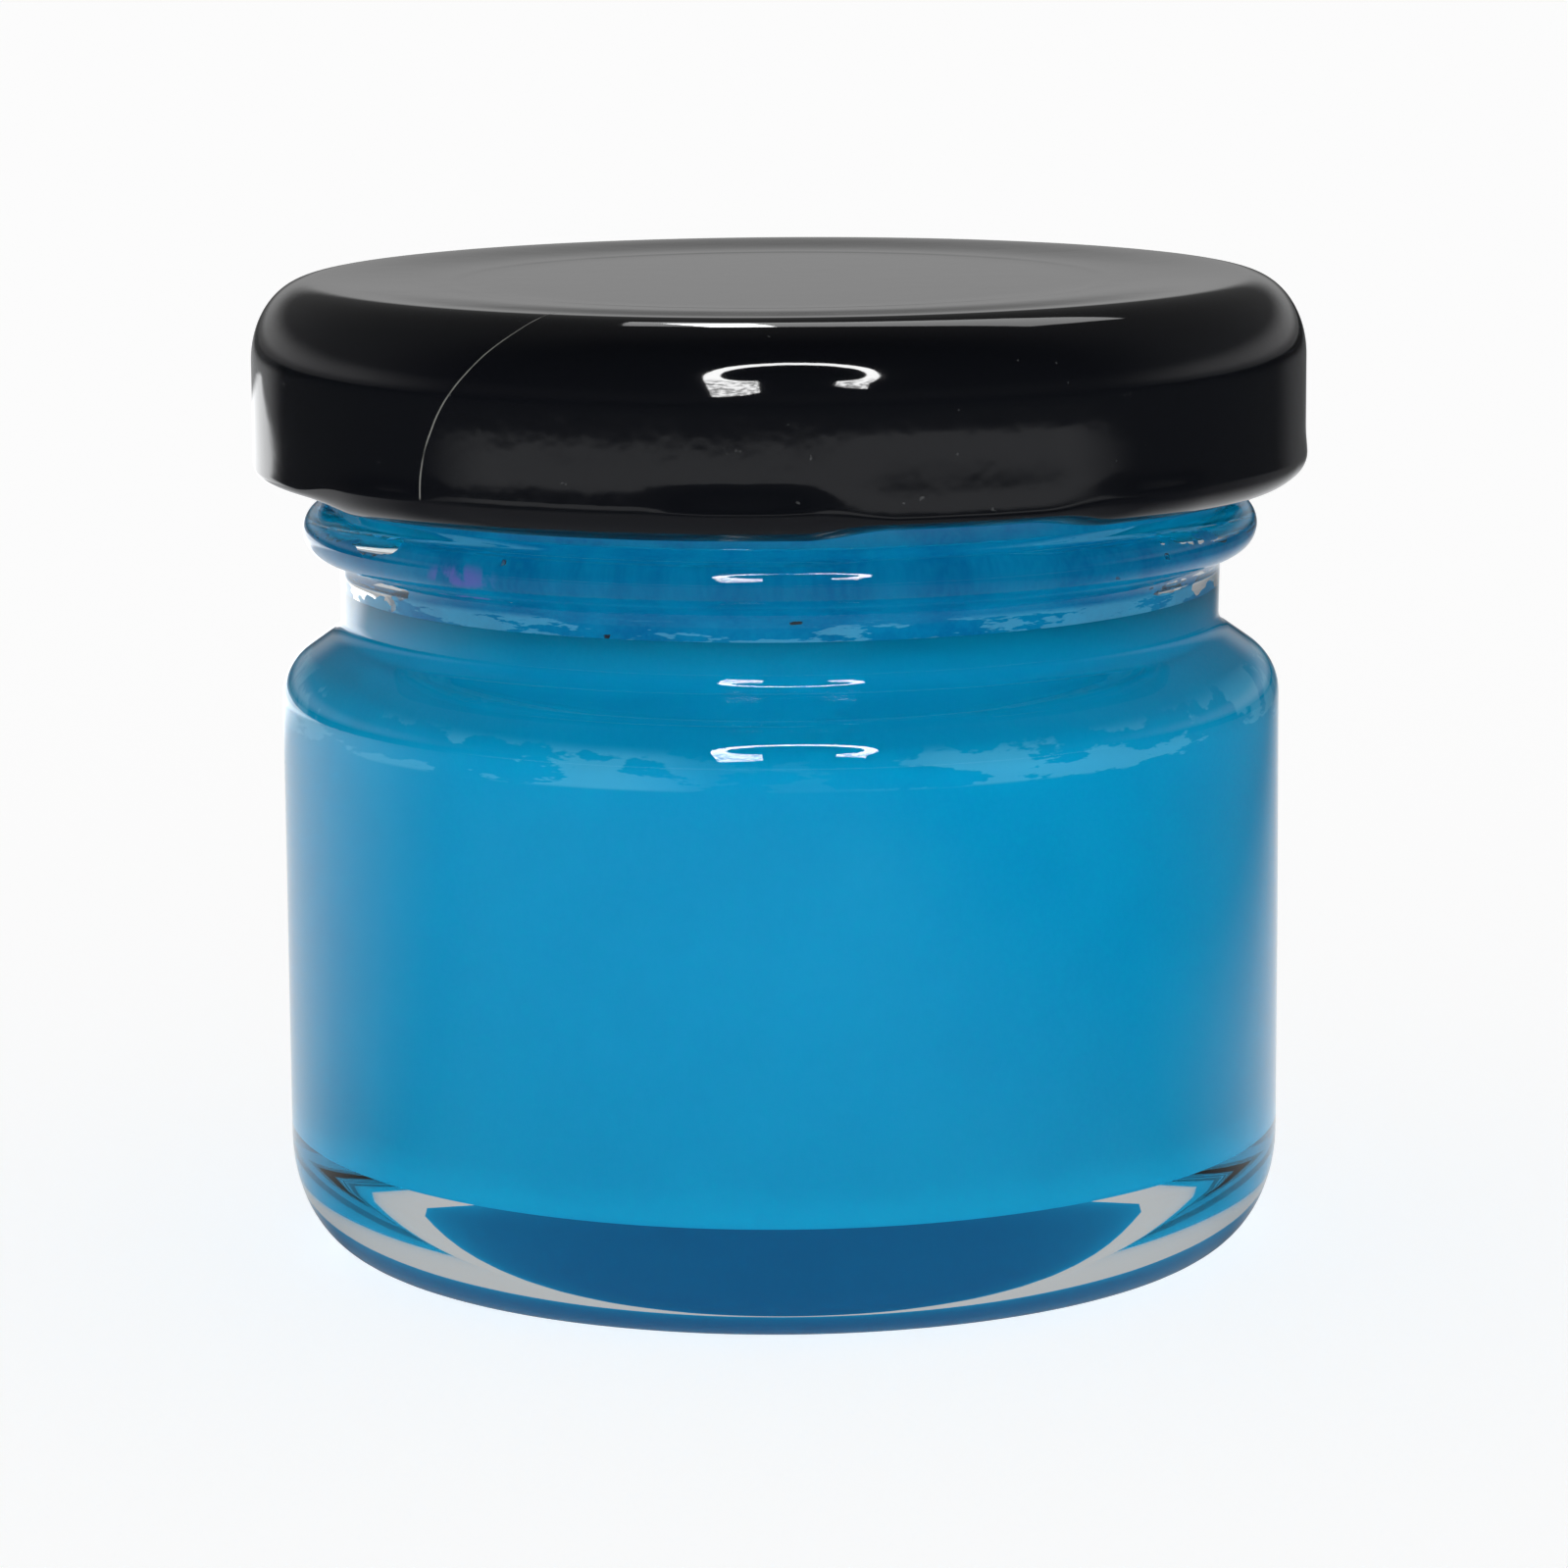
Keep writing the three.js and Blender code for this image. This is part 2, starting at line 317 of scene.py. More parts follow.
def on_bore(azimuth, level):
    """A place on the wall of the jar's mouth."""
    turn = math.radians(azimuth)
    return BORE_RADIUS * math.sin(turn), -BORE_RADIUS * math.cos(turn), level


# ---------------------------------------------------------------- materials

GLASS_TINT, GLASS_SHADOW = (0.955, 0.985, 0.985, 1), (0.93, 0.97, 0.98, 1)

PAINT_DEEP, PAINT_PALE, PAINT_LIGHT = colour(4, 149, 195), colour(6, 154, 199), colour(22, 168, 210)
# The second colour below is for the film: sheer paint, darkened further as painted shade for the lid's
# shade over the neck.
PAINT_THIN, PAINT_SHEER_SHADED, VIOLET = colour(120, 205, 232), colour(2, 106, 156), colour(104, 108, 190)
GRAIN_SHARE = 0.12
GLOSS_ROUGHNESS, MATT_ROUGHNESS = 0.12, 0.6
THIN_LOW, THIN_HIGH = SHOULDER_START - 1.2 * MM, SHOULDER_START + 0.3 * MM  # patches there
THIN_LOW_FADE, THIN_HIGH_FADE = 0.15 * MM, 0.3 * MM
THIN_NEAR, THIN_FAR = 2 * MM, 7 * MM  # from the jar's middle out to where they are palest
THIN_LEAST, THIN_MOST = 0.05, 0.26
FILM_THIN_LOW, FILM_THIN_HIGH = MENISCUS_TOP - 0.4 * MM, MENISCUS_TOP + 1.2 * MM
FILM_LOW_FADE, FILM_HIGH_FADE, FILM_THIN_MOST = 0.2 * MM, 0.6 * MM, 0.3
FLATTEN = 5  # how much wider than tall the patches are
SMEAR_X, SMEAR_Y, SMEAR_Z = on_bore(-46, 31.6 * MM)
SMEAR_CORE, SMEAR_EDGE, SMEAR_MOST = 0.8 * MM, 2.4 * MM, 0.8

LACQUER_BLACK, LACQUER_DUST, DUST_SHARE = colour(7, 8, 11), colour(90, 92, 92), 0.25
LACQUER_ROUGHNESS, WORN_ROUGHNESS = 0.04, 0.06  # the second is added where the lid is worn
SCRATCH_COLOUR, SCRATCH_ROUGHNESS = colour(88, 88, 84), 0.4
SCRATCH_FOOT, SCRATCH_START = 35.0 * MM, math.radians(-39.6)  # height, and azimuth there
SCRATCH_LEAN, SCRATCH_BEND = math.radians(-0.161) / MM, math.radians(0.234) / MM**2
SCRATCH_CORE, SCRATCH_EDGE, SCRATCH_WOBBLE = 0.001, 0.0026, 0.006  # in radians round the lid
SCRATCH_END, SCRATCH_INNER_FADE = CREST_RADIUS - 1.2 * MM, 1.0 * MM


def glass_material():
    """Clear glass, which lets the lamps' light straight through."""
    n = MaterialNodes("clear_glass")
    n.set(Base_Color=GLASS_TINT, Roughness=0.0, IOR=1.5, Transmission_Weight=1.0)
    n.set(Normal=n.bump(n.noise(90, 1.0), 0.02, 0.2 * MM))
    clear = n.add("ShaderNodeBsdfTransparent", Color=GLASS_SHADOW)
    n.show(n.light_path()["Is Shadow Ray"], n.surface, clear)
    return n.material


def paint_material(name, glossy=False, film=False):
    """Gel paint. Where it lies on the glass it has no gloss of its own, and it is paler in
    patches round the shoulder, where it lies thin. The film over the fill is a darker blue: sheer
    paint with painted shade for the lid's shade over the neck. It has such patches along its foot
    too, and has a violet smear."""
    n = MaterialNodes(name)
    x, _, z = n.axes()
    flattened = n.vector("MULTIPLY", n.place, (1, 1, FLATTEN))
    body = n.mix(n.ramp(n.noise(110, 3.0, 0.6), 0.3, 0.7), PAINT_DEEP, PAINT_PALE)
    if film:
        # Painted shade: the film is mostly this darker blue, which stands for the lid's shade over the
        # neck as well as for its sheer paint.
        body = n.mix(n.ramp(n.noise(380, 3.0), 0.35, 0.65, 0.0, 0.35), PAINT_SHEER_SHADED, body)
    grain = n.ramp(n.noise(4200, 1.0), 0.25, 0.75, 0, GRAIN_SHARE)
    body = n.mix(grain, body, PAINT_LIGHT)
    ragged = n.ramp(n.noise(150, 5.0, 0.62, flattened), 0.5, 0.53)
    aside = n.ramp(n.math("ABSOLUTE", x), THIN_NEAR, THIN_FAR, THIN_LEAST, THIN_MOST)
    shoulder = n.band(z, THIN_LOW, THIN_HIGH, THIN_LOW_FADE, THIN_HIGH_FADE)
    body = n.mix(n.product(shoulder, ragged, aside), body, PAINT_THIN)
    if film:
        ragged = n.ramp(n.noise(210, 5.0, 0.65, flattened), 0.48, 0.51, 0, FILM_THIN_MOST)
        foot = n.band(z, FILM_THIN_LOW, FILM_THIN_HIGH, FILM_LOW_FADE, FILM_HIGH_FADE)
        body = n.mix(n.product(foot, ragged), body, PAINT_THIN)
        away = n.vector("DISTANCE", flattened, (SMEAR_X, SMEAR_Y, SMEAR_Z * FLATTEN))
        smear = n.ramp(away, SMEAR_CORE, SMEAR_EDGE, SMEAR_MOST, 0)
        body = n.mix(n.product(smear, n.ramp(n.noise(1300, 3.0), 0.45, 0.6)), body, VIOLET)
    n.set(Base_Color=body)
    if glossy:
        n.set(Roughness=GLOSS_ROUGHNESS, IOR=1.45, Coat_Weight=0.3)
        n.set(Normal=n.bump(n.noise(260), 0.25, 0.4 * MM))
    else:
        n.set(Roughness=MATT_ROUGHNESS, Specular_IOR_Level=0.0)
    return n.material


def scratch_mask(n):
    """1 on the lid's scratch, which climbs the skirt on a slight bend and ends at the crest."""
    x, y, z = n.axes()
    azimuth = n.math("ARCTAN2", x, n.product(y, -1.0))
    climb = n.math("SUBTRACT", z, SCRATCH_FOOT)
    lean = n.math("MULTIPLY_ADD", climb, SCRATCH_BEND, SCRATCH_LEAN)
    course = n.math("MULTIPLY_ADD", climb, lean, SCRATCH_START)
    wobble = n.math("MULTIPLY_ADD", n.noise(300), 2 * SCRATCH_WOBBLE, -SCRATCH_WOBBLE)
    aside = n.math("ABSOLUTE", n.math("SUBTRACT", n.total(azimuth, wobble), course))
    radius = n.vector("LENGTH", n.add("ShaderNodeCombineXYZ", X=x, Y=y).outputs[0])
    return n.product(
        n.ramp(aside, SCRATCH_CORE, SCRATCH_EDGE, 1, 0),
        n.ramp(climb, 0, 0.2 * MM),
        n.ramp(n.noise(900), 0.3, 0.6, 0.25, 1),
        n.ramp(radius, SCRATCH_END, SCRATCH_END + SCRATCH_INNER_FADE),
    )


def lacquer_material():
    """Glossy black lacquer on the outside of the lid, with faint wear, dust and a scratch."""
    n = MaterialNodes("black_lacquer")
    worn = n.ramp(n.noise(70, 4.0, 0.65), 0.45, 0.8)
    dust = n.ramp(n.noise(1900, 2.0, 0.6), 0.72, 0.8, 0, DUST_SHARE)
    scratch = scratch_mask(n)
    n.set(Base_Color=n.mix(scratch, n.mix(dust, LACQUER_BLACK, LACQUER_DUST), SCRATCH_COLOUR))
    rough = n.math("MULTIPLY_ADD", worn, WORN_ROUGHNESS, LACQUER_ROUGHNESS)
    n.set(Roughness=n.math("MULTIPLY_ADD", scratch, SCRATCH_ROUGHNESS, rough), IOR=1.5)
    n.set(Normal=n.bump(n.noise(600), 0.04, 0.1 * MM))
    return n.material


def inside_lacquer_material():
    """The thin gold lacquer on the inside of the lid."""
    n = MaterialNodes("gold_lacquer")
    shade = n.ramp(n.noise(150, 3.0), 0.3, 0.7)
    n.set(Base_Color=n.mix(shade, colour(196, 158, 84), colour(214, 180, 108)))
    n.set(Metallic=0.85, Roughness=n.math("MULTIPLY_ADD", shade, 0.1, 0.28))
    return n.material


def gasket_material():
    n = MaterialNodes("cream_plastisol")
    shade = n.ramp(n.noise(900, 3.0), 0.35, 0.65)
    n.set(Base_Color=n.mix(shade, colour(212, 208, 196), colour(226, 223, 213)), Roughness=0.5)
    n.set(Normal=n.bump(n.noise(2500), 0.15, 0.05 * MM))
    return n.material


GLASS = glass_material()
PAINT_ON_GLASS = paint_material("gel_paint")
PAINT_OPEN = paint_material("gel_paint_surface", glossy=True)
PAINT_FILM = paint_material("gel_paint_film", film=True)
LACQUER = lacquer_material()
INSIDE_LACQUER = inside_lacquer_material()
PLASTISOL = gasket_material()

# ---------------------------------------------------------------- glass jar


def past_lug(azimuth):
    """Degrees round to the nearest lug, in the way that the lid tightens."""
    return (LUG_AZIMUTH - azimuth) % (360 / LUG_COUNT)


def off_lug(azimuth):
    """Degrees to the nearest lug, either way."""
    return min(past_lug(azimuth), 360 / LUG_COUNT - past_lug(azimuth))


def threaded_wall(azimuth):
    """The wall under the lid, with the thread as a ridge that comes down to its level part."""
    level = np.linspace(BEAD_LEVEL + BEAD_ROUND, RIM - RIM_ROUND, 60)[1:-1]
    depth = smooth(THREAD_GAP, THREAD_GAP + THREAD_BLEND, off_lug(azimuth))
    lead = 1 - smooth(0, 1, (past_lug(azimuth) - THREAD_GAP - THREAD_BLEND / 2) / THREAD_LEAD)
    ridge = np.clip(1 - ((level - THREAD_LEVEL - THREAD_RISE * lead) / THREAD_HALF_HEIGHT) ** 2, 0, 1)
    return np.c_[FINISH_RADIUS + THREAD_REACH * depth * ridge**0.5, level]


def wave(azimuth, level):
    """The slight unevenness of a moulded glass wall, never outwards."""
    turn = math.radians(azimuth)
    waves = [np.sin(times * turn + climb * level + phase) for times, climb, phase in WAVES]
    return -WAVE_DEPTH * (len(waves) + sum(waves))


def jar_outline(azimuth):
    """From the middle of the push-up out and up the outside, and down the inside."""
    standing = BODY_RADIUS - HEEL_INSET
    inside = standing - STANDING_WIDTH
    heel = arc(standing, HEEL_HEIGHT, HEEL_INSET, -90, 0, 20, HEEL_HEIGHT)
    wall = line((BODY_RADIUS, HEEL_HEIGHT), (BODY_RADIUS, SHOULDER_START), 24)
    shoulder = step_in(BODY_RADIUS, NECK_RADIUS, SHOULDER_START, SHOULDER_ROUND, NECK_FILLET)
    outside = np.r_[heel, wall, shoulder]
    outside[:, 0] += wave(azimuth, outside[:, 1]) * smooth(0, HEEL_HEIGHT, outside[:, 1])
    bead = arc(BEAD_MIDDLE, BEAD_LEVEL, BEAD_ROUND, -BEAD_HALF_ANGLE, BEAD_HALF_ANGLE, 22)
    neck = line(outside[-1], (NECK_RADIUS, BEAD_LEVEL - BEAD_FOOT), 6)
    low_fillet = (NECK_RADIUS + FILLET_OUT, BEAD_LEVEL - FILLET_BELOW)
    high_fillet = (FINISH_RADIUS + FILLET_OUT, BEAD_LEVEL + FILLET_ABOVE)
    start = SHOULDER_START - INNER_SHOULDER_DROP
    inner_slope = step_in(INNER_RADIUS, BORE_RADIUS, start, INNER_SHOULDER_ROUND, INNER_NECK_FILLET)
    inner_slope = inner_slope[::-1]
    rim_inside = arc(BORE_RADIUS + RIM_ROUND, RIM - RIM_ROUND, RIM_ROUND, 90, 180, 10)
    corner = arc(INNER_RADIUS - FLOOR_FILLET, FLOOR + FLOOR_FILLET, FLOOR_FILLET, 0, -90, 16)
    dome_radius = np.linspace(0, inside - PUSH_UP_SLOPE, 16)
    dome_fall = (PUSH_UP - PUSH_UP_EDGE) * (dome_radius / dome_radius[-1]) ** 2
    return np.r_[
        np.c_[dome_radius, PUSH_UP - dome_fall][:-1],
        arc(inside - PUSH_UP_SLOPE, 0, PUSH_UP_SLOPE, 90, 0, 8, PUSH_UP_EDGE),
        outside,
        neck,
        [low_fillet],
        bead,
        [high_fillet],
        threaded_wall(azimuth),
        arc(FINISH_RADIUS - RIM_ROUND, RIM - RIM_ROUND, RIM_ROUND, 0, 90, 10),
        rim_inside,
        line(rim_inside[-1], inner_slope[0], 30),
        inner_slope,
        line(inner_slope[-1], corner[0], 30),
        corner,
        line(corner[-1], (0, FLOOR + FLOOR_CROWN), 12),
        [(0, FLOOR + FLOOR_CROWN)],
    ]


def make_jar():
    jar = turned("glass_jar_visual", jar_outline, 300, [GLASS])
    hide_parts("glass_jar")
    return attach(jar, "jar")


# ---------------------------------------------------------------- paint

BITE = 0.03 * MM  # the paint reaches this far into the glass, so that no air shows between them
PAINT_LEVEL = MENISCUS_TOP - 0.25 * MM
MENISCUS_WIDTH = 1.5 * MM
BARE_AZIMUTH, BARE_SPREAD = 82, 24  # where the film has most of its holes, either side
BARE_LEVEL, BARE_HEIGHT = 1.3 * MM, 1.1 * MM  # above the paint's level
WHOLE, BARE = 0.72, 1.2  # the film's cover where it has no holes, and what the holes take off
RAG_SCALE, RAG_FLATTEN, RAG_DEPTH = 620, 1.6, 0.8  # the noise that roughens its edges
RAG_FALL, RAG_STEP, RAG_OCTAVES = 0.7, 2.1, 4
FILM_TOP = FILM_HIGH.z - 1.2 * MM  # about where its ragged top edge is
FILM_LAP, FILM_THICKNESS = 0.2 * MM, 0.12 * MM  # how far it reaches down into the fill
FINE_HEIGHT, FINE_ROWS, COARSE_ROWS = 3.2 * MM, 30, 18  # finer up to here above the paint
FILM_TURNS, WHOLE_ROWS = 540, 3  # the lowest rows have no holes
JOIN_PASSES = 6
FARTHEST = 0.45  # that a point may move, in cells, so that none passes its neighbour


def fill_outline(azimuth):
    """From the floor's middle out and up the side, and back in over the paint's surface."""
    side, neck = INNER_RADIUS + BITE, BORE_RADIUS + BITE
    bottom = FLOOR - BITE
    corner = arc(side - FLOOR_FILLET, bottom + FLOOR_FILLET, FLOOR_FILLET, -90, 0, 16)
    start = SHOULDER_START - INNER_SHOULDER_DROP
    slope = step_in(side, neck, start, INNER_SHOULDER_ROUND, INNER_NECK_FILLET)
    climb = np.linspace(0, 1, 13)[:, None]
    meniscus = np.c_[
        neck - MENISCUS_WIDTH * climb,
        PAINT_LEVEL + (MENISCUS_TOP - PAINT_LEVEL) * (1 - climb) ** 3,
    ]
    return np.r_[
        [(0, FLOOR + FLOOR_CROWN - BITE)],
        line((0, FLOOR + FLOOR_CROWN - BITE), corner[0], 12),
        corner,
        line(corner[-1], slope[0], 20),
        slope,
        meniscus,
        line(meniscus[-1], (0, PAINT_LEVEL), 14),
        [(0, PAINT_LEVEL)],
    ]


def make_fill():
    outline = fill_outline(0)
    top = int(np.argmax(outline[:, 1]))
    finish_of = [0 if j < top else 1 for j in range(len(outline))]
    fill = turned("paint_fill_visual", fill_outline, 180, [PAINT_ON_GLASS, PAINT_OPEN], finish_of)
    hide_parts("paint_fill")
    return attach(fill, "jar")


def film_cover(azimuth, level):
    """Above 0 where paint clings to the wall, and below 0 where the wall is bare."""
    turn = math.radians(azimuth)
    place = Vector((BORE_RADIUS * math.sin(turn), BORE_RADIUS * math.cos(turn), level * RAG_FLATTEN))
    rag = noise.fractal(place * RAG_SCALE, RAG_FALL, RAG_STEP, RAG_OCTAVES) * RAG_DEPTH
    side = math.exp(-(((min(azimuth, 360 - azimuth) - BARE_AZIMUTH) / BARE_SPREAD) ** 2))
    band = math.exp(-(((level - PAINT_LEVEL - BARE_LEVEL) / BARE_HEIGHT) ** 2))
    return min(WHOLE - BARE * side * band, (FILM_TOP - level) / MM) + rag


def kept_cells(cover):
    """The cells of the grid that hold paint. Where two of them met only at a corner, one more
    is kept, so that the sheet hangs together nowhere by a single point."""
    ahead = np.roll(cover, -1, 0)
    kept = cover[:, :-1] + ahead[:, :-1] + cover[:, 1:] + ahead[:, 1:] > 0
    for _ in range(JOIN_PASSES):
        right, up = np.roll(kept, -1, 0), np.roll(kept, -1, 1)
        across = np.roll(right, -1, 1)
        rising = kept & across & ~right & ~up
        falling = right & up & ~kept & ~across
        rising[:, -1] = falling[:, -1] = False
        kept |= np.roll(rising, 1, 0) | falling
    return kept


def edge_shifts(cover, kept):
    """How far each point on the paint's edge moves round and up to where the cover is 0, in
    cells. The other points stay."""
    slopes = (np.roll(cover, -1, 0) - np.roll(cover, 1, 0)) / 2, np.gradient(cover, axis=1)
    reach = -cover / (slopes[0] ** 2 + slopes[1] ** 2 + 1e-6)
    kept_round = np.zeros(cover.shape, int)
    for turn in (0, 1):
        for row in (0, 1):
            kept_round[:, row : row + kept.shape[1]] += np.roll(kept, turn, 0)
    edge = (kept_round > 0) & (kept_round < 4)
    edge[:, :WHOLE_ROWS] = edge[:, -1] = False
    return [np.where(edge, np.clip(reach * slope, -FARTHEST, FARTHEST), 0) for slope in slopes]


def sheet_faces(kept):
    """The faces of a sheet over the kept cells, closed by walls where they end. The points of
    its back are numbered after all those of its front."""
    turns, rows = kept.shape[0], kept.shape[1] + 1
    faces = []
    for i, j in np.argwhere(kept).tolist():
        one, two = i * rows + j, (i + 1) % turns * rows + j
        back_one, back_two = one + turns * rows, two + turns * rows
        faces.append((one, two, two + 1, one + 1))
        faces.append((back_one, back_one + 1, back_two + 1, back_two))
        if j == 0 or not kept[i, j - 1]:
            faces.append((one, back_one, back_two, two))
        if j == rows - 2 or not kept[i, j + 1]:
            faces.append((one + 1, two + 1, back_two + 1, back_one + 1))
        if not kept[i - 1, j]:
            faces.append((one, one + 1, back_one + 1, back_one))
        if not kept[(i + 1) % turns, j]:
            faces.append((two, back_two, back_two + 1, two + 1))
    return faces


def make_film():
    """The paint on the wall above the fill, as a thin sheet with ragged holes and edge."""
    foot, fine_top = PAINT_LEVEL - FILM_LAP, PAINT_LEVEL + FINE_HEIGHT
    fine = np.linspace(foot, fine_top, FINE_ROWS)
    levels = np.r_[fine, np.linspace(fine_top, FILM_HIGH.z, COARSE_ROWS)[1:]]
    rows = np.arange(len(levels))
    azimuths = 360 * np.arange(FILM_TURNS) / FILM_TURNS
    cover = np.array([[film_cover(azimuth, level) for level in levels] for azimuth in azimuths])
    cover[:, :WHOLE_ROWS] = 1
    kept = kept_cells(cover)
    shift_round, shift_up = edge_shifts(cover, kept)
    angle = np.radians(azimuths[:, None] + shift_round * 360 / FILM_TURNS)
    height = np.interp(rows + shift_up, rows, levels)
    places = [
        np.stack([radius * np.sin(angle), -radius * np.cos(angle), height], 2).reshape(-1, 3)
        for radius in (BORE_RADIUS + BITE / 2, BORE_RADIUS - FILM_THICKNESS)
    ]
    mesh = bpy.data.meshes.new("paint_film_visual")
    mesh.from_pydata(np.concatenate(places).tolist(), [], sheet_faces(kept))
    mesh.materials.append(PAINT_FILM)
    film = bpy.data.objects.new("paint_film_visual", mesh)
    bpy.context.scene.collection.objects.link(film)
    drop_loose(mesh)
    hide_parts("paint_film")
    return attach(film, "jar")


# ---------------------------------------------------------------- lid


def press_at(azimuth):
    """How far a lug is pressed at this azimuth, from 0 to 1."""
    return 1 - smooth(LUG_HALF_ANGLE, LUG_HALF_ANGLE + LUG_BLEND, off_lug(azimuth))


def swollen(points, azimuth):
    """The lid's outline with the curl swollen a little, most of all beside each end of a lug."""
    past = past_lug(azimuth)
    across = min(abs(past - SWELL_ANGLE), abs(past - 360 / LUG_COUNT + SWELL_ANGLE)) / SWELL_HALF_ANGLE
    swell = SWELL * (SWELL_ELSEWHERE + (1 - SWELL_ELSEWHERE) * math.exp(-(across**4)))
    level = points[:, 1] - LID_BOTTOM
    inset = SWELL - swell * (1 - smooth(SWELL_LOW, SWELL_HIGH, level))
    outside = smooth(CURL_INSIDE + SWELL_IN, CURL_INSIDE + SWELL_OUT, points[:, 0])
    return np.c_[points[:, 0] - inset * outside, points[:, 1]]


def pressed(points, press):
    """The lid's outline where a lug is pressed: the curl is flattened and pushed in, and the
    skirt above it is dented."""
    radius, level = points[:, 0], points[:, 1]
    lug_bottom = LID_BOTTOM + LUG_LIFT
    flat = lug_bottom + (level - LID_BOTTOM) * LUG_THICKNESS / CURL_HEIGHT
    top_drop = lug_bottom + LUG_THICKNESS - CURL_TOP
    fade = smooth(CURL_TOP, CURL_TOP + DENT_HEIGHT, level)
    outward = np.clip((radius - CURL_INSIDE) / (CURL_WIDTH - SWELL), 0, 1)
    lug_reach = CURL_INSIDE - FINISH_RADIUS - LUG_CLEARANCE
    push = lug_reach + (LUG_DENT - lug_reach) * outward
    drop = np.where(level < CURL_TOP, flat - level, top_drop * (1 - fade))
    return np.c_[radius - press * push * (1 - fade), level + press * drop]


def skirt_outline(offset):
    """The skirt and the curl, from the curl's end up. offset is 0 on the outside of the sheet."""
    skirt = LID_RADIUS - offset
    middle = LID_RADIUS - CURL_ROUND
    hook = middle - CURL_RETURN + offset
    turn_in = arc(middle, LID_BOTTOM + CURL_RETURN, CURL_RETURN - offset, -180, -90, 10)
    turn_out = arc(middle, LID_BOTTOM + CURL_ROUND, CURL_ROUND - offset, -90, 0, 16)
    return np.r_[
        [(hook, CURL_TOP)],
        line((hook, CURL_TOP), turn_in[0], 3),
        turn_in,
        turn_out[1:],
        line(turn_out[-1], (skirt, LID_TOP - LID_SHOULDER_HEIGHT), 16),
    ]


def top_outline(offset):
    """The lid's top, from the skirt in to the axis."""
    start = LID_TOP - LID_SHOULDER_HEIGHT
    width, height = LID_SHOULDER_WIDTH - SWELL - offset, LID_SHOULDER_HEIGHT - offset
    shoulder = arc(CREST_RADIUS, start, width, 0, 90, 26, height)
    dish_radius = np.linspace(CREST_RADIUS, PANEL_RADIUS - PANEL_STEP, 24)[1:]
    inward = (CREST_RADIUS - dish_radius) / (CREST_RADIUS - PANEL_RADIUS)
    dish = CREST_DROP * smooth(0, 1, inward) ** CREST_CURVE
    lip = (PANEL_DROP - CREST_DROP) * smooth(-PANEL_RADIUS, PANEL_STEP - PANEL_RADIUS, -dish_radius)
    panel = (PANEL_RADIUS - PANEL_STEP, LID_TOP - PANEL_DROP - offset)
    return np.r_[
        shoulder,
        np.c_[dish_radius, LID_TOP - dish - lip - offset],
        line(panel, (0, panel[1]), 10),
        [(0, panel[1])],
    ]


def lid_outline(azimuth):
    press = press_at(azimuth)
    return np.r_[
        top_outline(SHEET)[::-1],
        pressed(swollen(skirt_outline(SHEET), azimuth), press)[::-1],
        pressed(swollen(skirt_outline(0), azimuth), press),
        top_outline(0),
    ]


def make_lid():
    inner = len(top_outline(SHEET)) + len(skirt_outline(SHEET))
    total = 2 * inner
    finish_of = [1 if j < inner else 0 for j in range(total)]
    lid = turned("lid_shell_visual", lid_outline, 360, [LACQUER, INSIDE_LACQUER], finish_of)
    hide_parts("lid_shell")
    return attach(lid, "lid")


def gasket_outline(azimuth):
    """A moulded ring, with the groove that the glass rim has pressed into it."""
    inside, outside, edge = GASKET_RADIUS - GASKET_WIDTH, GASKET_RADIUS, GASKET_EDGE
    rest, top = RIM + GASKET_REST, GASKET_HIGH.z
    foot = rest - GROOVE_DEPTH
    radius = np.linspace(inside + edge, outside - edge, 40)
    middle = (BORE_RADIUS + FINISH_RADIUS) / 2
    groove = GROOVE_DEPTH * np.exp(-(((radius - middle) / GROOVE_HALF_WIDTH) ** 2))
    return np.r_[
        arc(inside + edge, foot + edge, edge, 180, 270, 6),
        np.c_[radius, foot + groove][1:-1],
        arc(outside - edge, foot + edge, edge, -90, 0, 6),
        line((outside, rest + edge), (outside, top), 3),
        [(outside, top)],
        line((outside, top), (inside, top), 12),
        [(inside, top)],
        line((inside, top), (inside, rest + edge), 3),
    ]


def make_gasket():
    gasket = turned("lid_gasket_visual", gasket_outline, 180, [PLASTISOL])
    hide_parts("lid_gasket")
    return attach(gasket, "lid_seal")


# ---------------------------------------------------------------- floor, light and camera

WHITE, BLACK = (1, 1, 1, 1), (0, 0, 0, 1)

FLOOR_SIZE = 3.0  # from its middle to each side
FLOOR_COLOUR, FLOOR_ROUGHNESS = (0.5, 0.5, 0.5, 1), 0.9
FLOOR_LIT = 0.72  # what it shows on top of the light that falls on it

# What gloss sees of the floor. A RANGE runs from where a part of the light starts to where it
# is whole: over the distance from the jar, over x, or over how far behind the jar a place is
# for its distance, which is 1 straight behind it and -1 straight in front.
NEAR_LEAST, NEAR_BEHIND, NEAR_FRONT = 0.06, 0.8, 0.14
NEAR_BEHIND_RANGE, NEAR_BEHIND_POWER = (-0.5, 0.64), 1.1
NEAR_FRONT_RANGE, NEAR_FRONT_END = (-0.2, -0.45), (0.17, 0.13)
NEAR_RIGHT_RANGE, NEAR_RIGHT_SHARE = (0.03, 0.1), 0.15  # dimmer on the right
FAR_LEAST, FAR_STRIP, FAR_BEHIND = 0.03, 0.5, 0.35
FAR_RANGE = (0.225, 0.25)
STRIP, STRIP_FADES, STRIP_RANGE = (0.262, 0.36), (0.023, 0.014), (-0.15, -0.5)
FAR_BEHIND_RANGE = (0.66, 0.84)
FAR_RIGHT_RANGE, FAR_RIGHT_SHARE = (0.02, 0.12), 0.25
OUTER_RANGE, OUTER_SHARE = (0.4, 0.9), 0.2
SHEET_GLOW = 1.3  # a paler sheet on the floor, behind the jar on the left
SHEET_X, SHEET_X_FADES = (-0.21, -0.02), (0.02, 0.03)
SHEET_Y, SHEET_Y_FADES = (0.12, 0.36), (0.04, 0.025)

